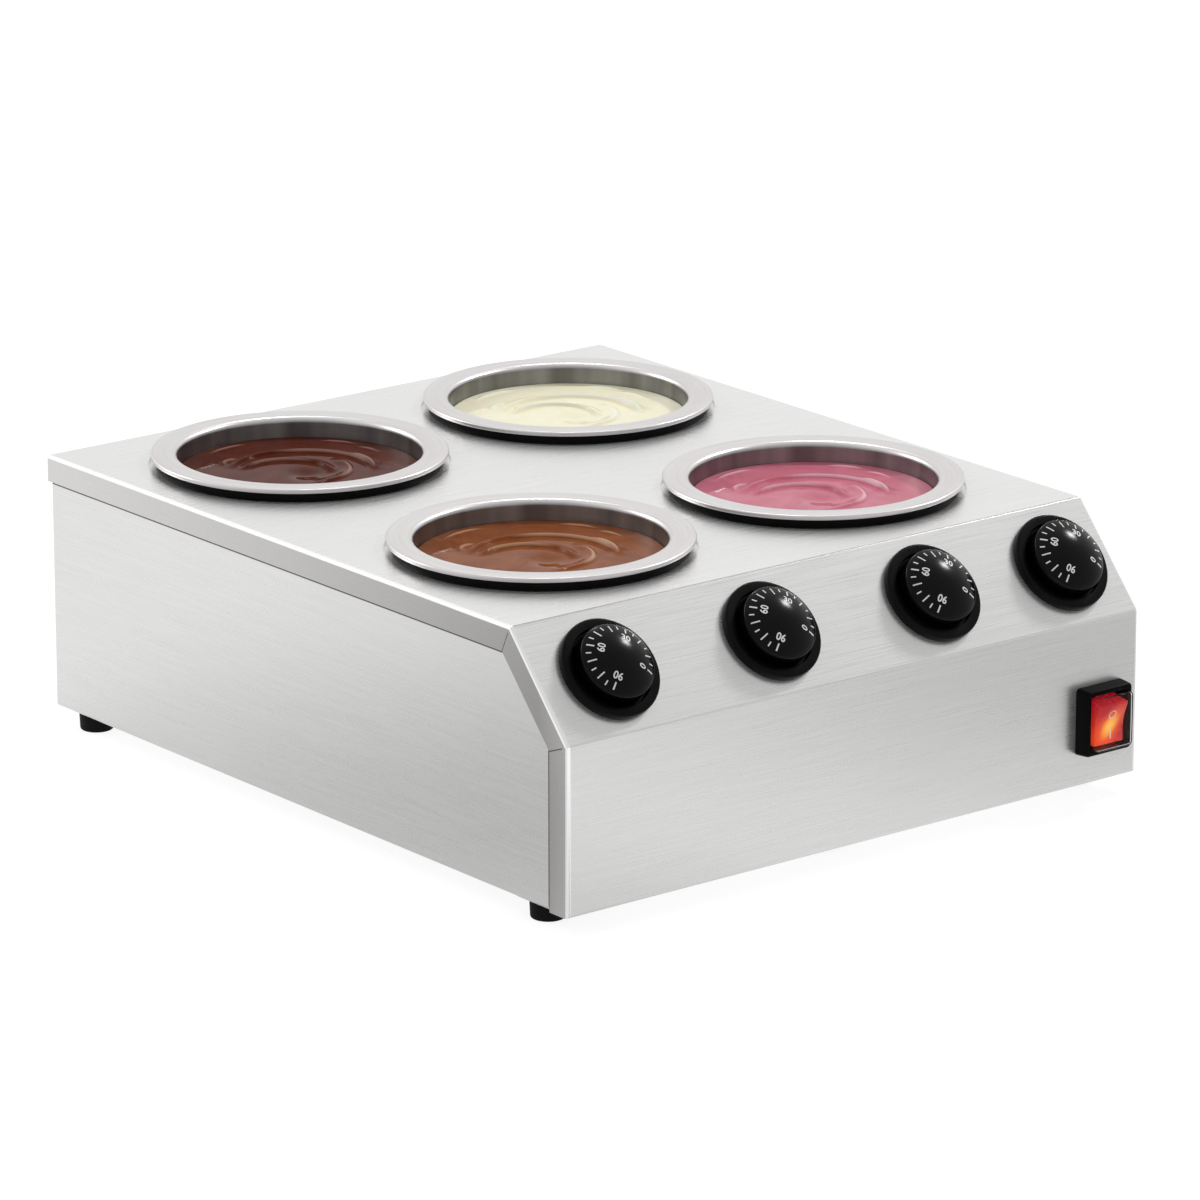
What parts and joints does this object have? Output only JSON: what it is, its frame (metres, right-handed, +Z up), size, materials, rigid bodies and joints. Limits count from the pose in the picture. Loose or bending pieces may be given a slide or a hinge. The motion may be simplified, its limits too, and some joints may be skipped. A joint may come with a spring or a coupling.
{
  "type": "chocolate melter",
  "caption": "Table-top chocolate melter with lift-out round pots in a stainless case, temperature dials on a sloping panel and a lit rocker switch under a clear cover.",
  "frame": {"origin": "middle of the machine's outline on the plane that the feet stand on", "axes": "+Z up, -Y the front with the dials and the switch, +X to the right of a person facing the dials"},
  "size_m": [0.4, 0.5032, 0.1655],
  "materials": {
    "casing_steel": "brushed",
    "pot_steel": "spun satin",
    "zinc_steel": "zinc-plated steel",
    "heater_band": "mica band in a metal sleeve",
    "sensor_copper": "copper, bright",
    "seat_ring_black": "matt, heat resistant",
    "bezel_black": "satin",
    "knob_black": "gloss",
    "black_plastic": "fine matt",
    "white_plastic": "moulded",
    "clear_plastic": "clear soft moulding",
    "red_lens": "translucent red, lit from behind",
    "foot_rubber": "matt",
    "dark_chocolate": "melted, glossy",
    "milk_chocolate": "melted, glossy",
    "white_chocolate": "melted, glossy",
    "ruby_chocolate": "melted, glossy"
  },
  "bodies": {
    "case": {"band_heater_back_left": "heater_band", "band_heater_back_right": "heater_band", "band_heater_front_left": "heater_band", "band_heater_front_right": "heater_band", "band_heater_screws": "zinc_steel", "base_plate": "casing_steel", "base_screws": "zinc_steel", "cable_gland": "black_plastic", "case_shell": "casing_steel", "foot_back_left": "foot_rubber", "foot_back_middle": "foot_rubber", "foot_back_right": "foot_rubber", "foot_front_left": "foot_rubber", "foot_front_middle": "foot_rubber", "foot_front_right": "foot_rubber", "foot_screws": "zinc_steel", "gland_nut": "black_plastic", "knob_bezel_back_left": "bezel_black", "knob_bezel_back_right": "bezel_black", "knob_bezel_front_left": "bezel_black", "knob_bezel_front_right": "bezel_black", "seat_ring_back_left": "seat_ring_black", "seat_ring_back_right": "seat_ring_black", "seat_ring_front_left": "seat_ring_black", "seat_ring_front_right": "seat_ring_black", "sensor_back_left": "sensor_copper", "sensor_back_right": "sensor_copper", "sensor_front_left": "sensor_copper", "sensor_front_right": "sensor_copper", "splash_cover": "clear_plastic", "switch_body": "black_plastic", "switch_frame": "black_plastic", "terminal_block": "white_plastic", "thermostat_back_left": "zinc_steel", "thermostat_back_right": "zinc_steel", "thermostat_front_left": "zinc_steel", "thermostat_front_right": "zinc_steel", "thermostat_screws": "zinc_steel", "top_cover": "casing_steel", "well_back_left": "casing_steel", "well_back_right": "casing_steel", "well_front_left": "casing_steel", "well_front_right": "casing_steel"},
    "front_left_pot": {"pot_front_left": "pot_steel", "milk_chocolate": "milk_chocolate"},
    "back_left_pot": {"pot_back_left": "pot_steel", "dark_chocolate": "dark_chocolate"},
    "back_right_pot": {"pot_back_right": "pot_steel", "white_chocolate": "white_chocolate"},
    "front_right_pot": {"pot_front_right": "pot_steel", "ruby_chocolate": "ruby_chocolate"},
    "front_left_dial": {"knob_front_left": "knob_black", "thermostat_shaft_front_left": "zinc_steel"},
    "back_left_dial": {"knob_back_left": "knob_black", "thermostat_shaft_back_left": "zinc_steel"},
    "back_right_dial": {"knob_back_right": "knob_black", "thermostat_shaft_back_right": "zinc_steel"},
    "front_right_dial": {"knob_front_right": "knob_black", "thermostat_shaft_front_right": "zinc_steel"},
    "rocker": {"switch_rocker": "red_lens"}
  },
  "joints": [
    {"name": "front_left_pot_lift", "type": "slide", "parent": "case", "child": "front_left_pot", "axis": [0, 0, 1], "range_m": [0, 0.12]},
    {"name": "back_left_pot_lift", "type": "slide", "parent": "case", "child": "back_left_pot", "axis": [0, 0, 1], "range_m": [0, 0.12]},
    {"name": "back_right_pot_lift", "type": "slide", "parent": "case", "child": "back_right_pot", "axis": [0, 0, 1], "range_m": [0, 0.12]},
    {"name": "front_right_pot_lift", "type": "slide", "parent": "case", "child": "front_right_pot", "axis": [0, 0, 1], "range_m": [0, 0.12]},
    {"name": "front_left_dial_turn", "type": "hinge", "parent": "case", "child": "front_left_dial", "pos_m": [-0.154, -0.2135, 0.1315], "axis": [0, -0.7474, 0.6644], "range_deg": [-135, 135]},
    {"name": "back_left_dial_turn", "type": "hinge", "parent": "case", "child": "back_left_dial", "pos_m": [-0.044, -0.2135, 0.1315], "axis": [0, -0.7474, 0.6644], "range_deg": [-135, 135]},
    {"name": "back_right_dial_turn", "type": "hinge", "parent": "case", "child": "back_right_dial", "pos_m": [0.069, -0.2135, 0.1315], "axis": [0, -0.7474, 0.6644], "range_deg": [-135, 135]},
    {"name": "front_right_dial_turn", "type": "hinge", "parent": "case", "child": "front_right_dial", "pos_m": [0.162, -0.2135, 0.1315], "axis": [0, -0.7474, 0.6644], "range_deg": [-135, 135]},
    {"name": "rocker_tilt", "type": "hinge", "parent": "case", "child": "rocker", "pos_m": [0.172, -0.2365, 0.048], "axis": [1, 0, 0], "range_deg": [-18, 0]}
  ]
}
